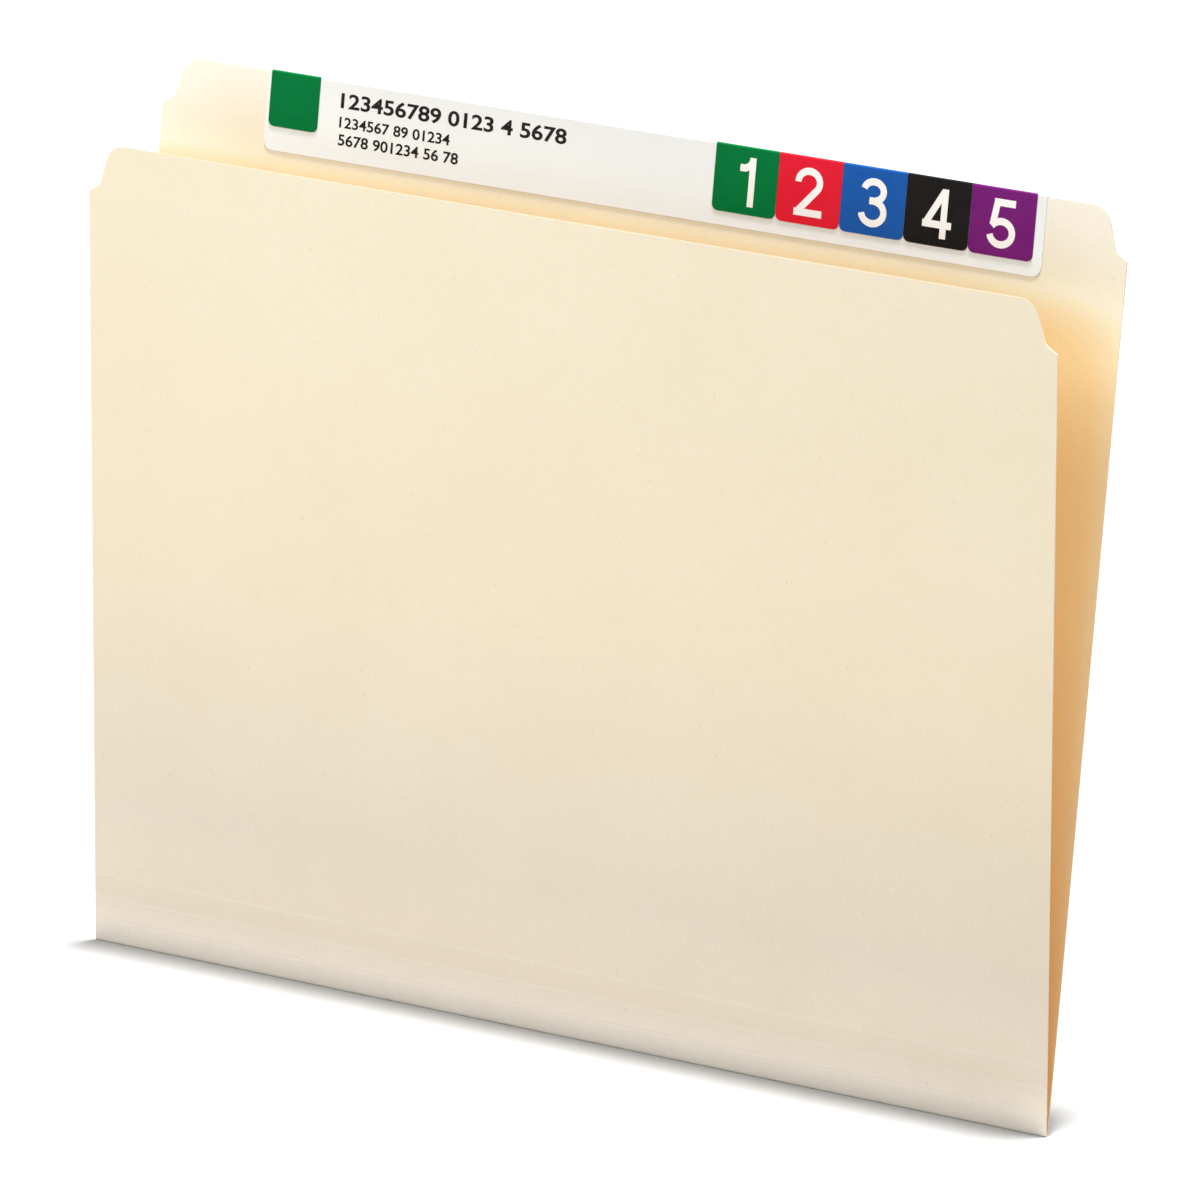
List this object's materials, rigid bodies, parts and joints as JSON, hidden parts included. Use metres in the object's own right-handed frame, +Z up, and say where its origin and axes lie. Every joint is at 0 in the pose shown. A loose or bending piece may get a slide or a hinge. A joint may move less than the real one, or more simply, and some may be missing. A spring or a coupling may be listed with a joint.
{
  "type": "file folder",
  "caption": "Letter-size card file folder with a full-width tab, a hinged front leaf, three scores that let the bottom widen, and a wrap-around label with colour stickers.",
  "frame": {"origin": "under the middle of the open folder's bounding box, on the surface that the fold stands on", "axes": "+X along the fold towards the number stickers, +Y from the front leaf to the back leaf, +Z up"},
  "size_m": [0.2984, 0.0354, 0.2411],
  "materials": {
    "manila_card": "uncoated matte cream card",
    "creased_card": "pressed matte cream card",
    "label_paper": "smooth white label paper",
    "sticker_green": "printed satin label",
    "sticker_red": "printed satin label",
    "sticker_blue": "printed satin label",
    "sticker_black": "printed satin label",
    "sticker_purple": "printed satin label"
  },
  "bodies": {
    "bottom_fold": {"bottom_crease": "creased_card"},
    "back_leaf": {"back_panel": "manila_card", "label_strip": "label_paper", "blank_sticker": "sticker_green", "number_sticker_1": "sticker_green", "number_sticker_2": "sticker_red", "number_sticker_3": "sticker_blue", "number_sticker_4": "sticker_black", "number_sticker_5": "sticker_purple"},
    "expansion_bottom": {"score_strip_1": "manila_card", "score_crease_1": "creased_card", "score_strip_2": "manila_card", "score_crease_2": "creased_card", "score_strip_3": "manila_card", "score_crease_3": "creased_card"},
    "front_leaf": {"front_panel": "manila_card"}
  },
  "joints": [
    {"name": "cover_opening", "type": "hinge", "parent": "bottom_fold", "child": "back_leaf", "pos_m": [0, -0.00086, 0.00046], "axis": [-1, 0, 0], "range_deg": [-8.5, 171.5]},
    {"name": "bottom_squaring", "type": "hinge", "parent": "bottom_fold", "child": "expansion_bottom", "pos_m": [0, -0.00086, 0.00046], "axis": [1, 0, 0], "range_deg": [0, 90]},
    {"name": "score_folding", "type": "hinge", "parent": "expansion_bottom", "child": "front_leaf", "pos_m": [0, -0.00255, 0.01898], "axis": [-1, 0, 0], "range_deg": [0, 90]}
  ],
  "couplings": [
    {"joint": "score_folding", "follows": "bottom_squaring", "ratio": 1}
  ]
}
